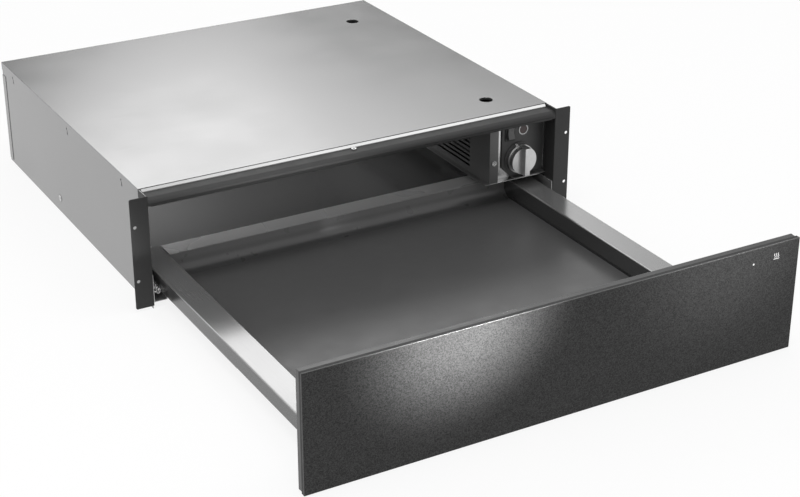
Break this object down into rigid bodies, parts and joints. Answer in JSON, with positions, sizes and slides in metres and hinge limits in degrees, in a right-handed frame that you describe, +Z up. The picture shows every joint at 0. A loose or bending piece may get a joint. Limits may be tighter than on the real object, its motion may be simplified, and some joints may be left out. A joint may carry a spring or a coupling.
{
  "type": "built-in warming drawer",
  "caption": "Built-in warming drawer for a kitchen cabinet: flanged steel casing, pull-out heated tray on concealed slides, handleless front, temperature knob and switch inside.",
  "frame": {"origin": "centre of the casing's flat underside, halfway along the casing's depth", "axes": "+X to the right as seen from the front, +Y back into the cabinet, +Z up"},
  "size_m": [0.595, 0.9383, 0.1405],
  "materials": {
    "casing_steel": "satin sheet steel",
    "inner_steel": "satin sheet steel, darker inside",
    "anthracite_paint": "matt anthracite coating",
    "bright_zinc": "bright zinc plate",
    "fascia_plastic": "matt dark grey",
    "knob_silver": "silver lacquer",
    "shaft_steel": "turned",
    "rocker_plastic": "dark grey",
    "switch_plastic": "black",
    "lamp_ring": "bright ring",
    "lamp_red": "dark red, unlit",
    "thermostat": "moulded",
    "fan_sheet": "mill finish",
    "motor": "cast",
    "element": "heat tinted",
    "terminal": "moulded",
    "gland": "black",
    "wire_sleeve": "heat resistant sleeve",
    "rail_steel": "zinc plated",
    "ball_steel": "bright",
    "drawer_steel": "satin",
    "tray_steel": "dark grey",
    "mat_rubber": "dark grey, grippy",
    "ledge_steel": "satin",
    "front_dark": "near black, finely speckled coating",
    "frame_paint": "grey",
    "seal": "black",
    "light_pipe": "milky",
    "latch_plastic": "black",
    "plunger_plastic": "white"
  },
  "bodies": {
    "casing": {"base_pan": "casing_steel", "side_panel_left": "casing_steel", "side_panel_right": "casing_steel", "rear_panel": "casing_steel", "top_cover": "casing_steel", "flange_left": "anthracite_paint", "flange_right": "anthracite_paint", "front_rail": "anthracite_paint", "rail_screw": "bright_zinc", "side_screws": "bright_zinc", "louvre_wall": "inner_steel", "compartment_floor": "inner_steel", "control_bracket": "bright_zinc", "control_panel": "fascia_plastic", "wall_screw": "bright_zinc", "thermostat_body": "thermostat", "switch_housing": "switch_plastic", "lamp_bezel": "lamp_ring", "lamp_lens": "lamp_red", "fan_housing": "fan_sheet", "fan_motor": "motor", "heating_element": "element", "element_plate": "bright_zinc", "thermal_cutout": "switch_plastic", "terminal_block": "terminal", "cable_gland": "gland", "wiring_loom": "wire_sleeve", "slide_fixed_left": "rail_steel", "slide_fixed_right": "rail_steel", "latch_body": "latch_plastic"},
    "drawer": {"side_channel_left": "drawer_steel", "side_channel_right": "drawer_steel", "slide_inner_left": "rail_steel", "slide_inner_right": "rail_steel", "tray": "tray_steel", "tray_mat": "mat_rubber", "rear_ledge": "ledge_steel", "front_panel": "front_dark", "panel_frame": "frame_paint", "panel_gasket": "seal", "panel_light": "light_pipe", "panel_brackets": "bright_zinc", "panel_screws": "bright_zinc", "latch_striker": "bright_zinc"},
    "middle_rail_left": {"slide_middle_left": "rail_steel"},
    "middle_rail_right": {"slide_middle_right": "rail_steel"},
    "rear_cage_left": {"ball_cage_rear_left": "ball_steel"},
    "rear_cage_right": {"ball_cage_rear_right": "ball_steel"},
    "front_cage_left": {"ball_cage_front_left": "ball_steel"},
    "front_cage_right": {"ball_cage_front_right": "ball_steel"},
    "knob": {"temperature_knob": "knob_silver", "thermostat_shaft": "shaft_steel"},
    "rocker": {"rocker": "rocker_plastic"},
    "fan_wheel": {"fan_impeller": "fan_sheet", "motor_shaft": "shaft_steel"},
    "plunger": {"latch_plunger": "plunger_plastic"}
  },
  "joints": [
    {"name": "drawer_slide", "type": "slide", "parent": "casing", "child": "drawer", "axis": [0, 1, 0], "range_m": [0, 0.414]},
    {"name": "middle_rail_left_slide", "type": "slide", "parent": "casing", "child": "middle_rail_left", "axis": [0, 1, 0], "range_m": [0, 0.207]},
    {"name": "middle_rail_right_slide", "type": "slide", "parent": "casing", "child": "middle_rail_right", "axis": [0, 1, 0], "range_m": [0, 0.207]},
    {"name": "rear_cage_left_slide", "type": "slide", "parent": "casing", "child": "rear_cage_left", "axis": [0, 1, 0], "range_m": [0, 0.1035]},
    {"name": "rear_cage_right_slide", "type": "slide", "parent": "casing", "child": "rear_cage_right", "axis": [0, 1, 0], "range_m": [0, 0.1035]},
    {"name": "front_cage_left_slide", "type": "slide", "parent": "casing", "child": "front_cage_left", "axis": [0, 1, 0], "range_m": [0, 0.3105]},
    {"name": "front_cage_right_slide", "type": "slide", "parent": "casing", "child": "front_cage_right", "axis": [0, 1, 0], "range_m": [0, 0.3105]},
    {"name": "knob_turn", "type": "hinge", "parent": "casing", "child": "knob", "pos_m": [0.2365, -0.2336, 0.073], "axis": [0, 1, 0], "range_deg": [0, 270]},
    {"name": "rocker_tilt", "type": "hinge", "parent": "casing", "child": "rocker", "pos_m": [0.2217, -0.2256, 0.1098], "axis": [1, 0, 0], "range_deg": [0, 12]},
    {"name": "fan_spin", "type": "hinge", "parent": "casing", "child": "fan_wheel", "pos_m": [0.225, -0.0036, 0.09415], "axis": [1, 0, 0], "continuous": true},
    {"name": "plunger_press", "type": "slide", "parent": "casing", "child": "plunger", "axis": [0, 1, 0], "range_m": [0, 0.004], "stiffness_N_per_m": 600, "springref_m": -0.004}
  ],
  "couplings": [
    {"joint": "middle_rail_left_slide", "follows": "drawer_slide", "ratio": 0.5},
    {"joint": "middle_rail_right_slide", "follows": "drawer_slide", "ratio": 0.5},
    {"joint": "rear_cage_left_slide", "follows": "drawer_slide", "ratio": 0.25},
    {"joint": "rear_cage_right_slide", "follows": "drawer_slide", "ratio": 0.25},
    {"joint": "front_cage_left_slide", "follows": "drawer_slide", "ratio": 0.75},
    {"joint": "front_cage_right_slide", "follows": "drawer_slide", "ratio": 0.75}
  ]
}
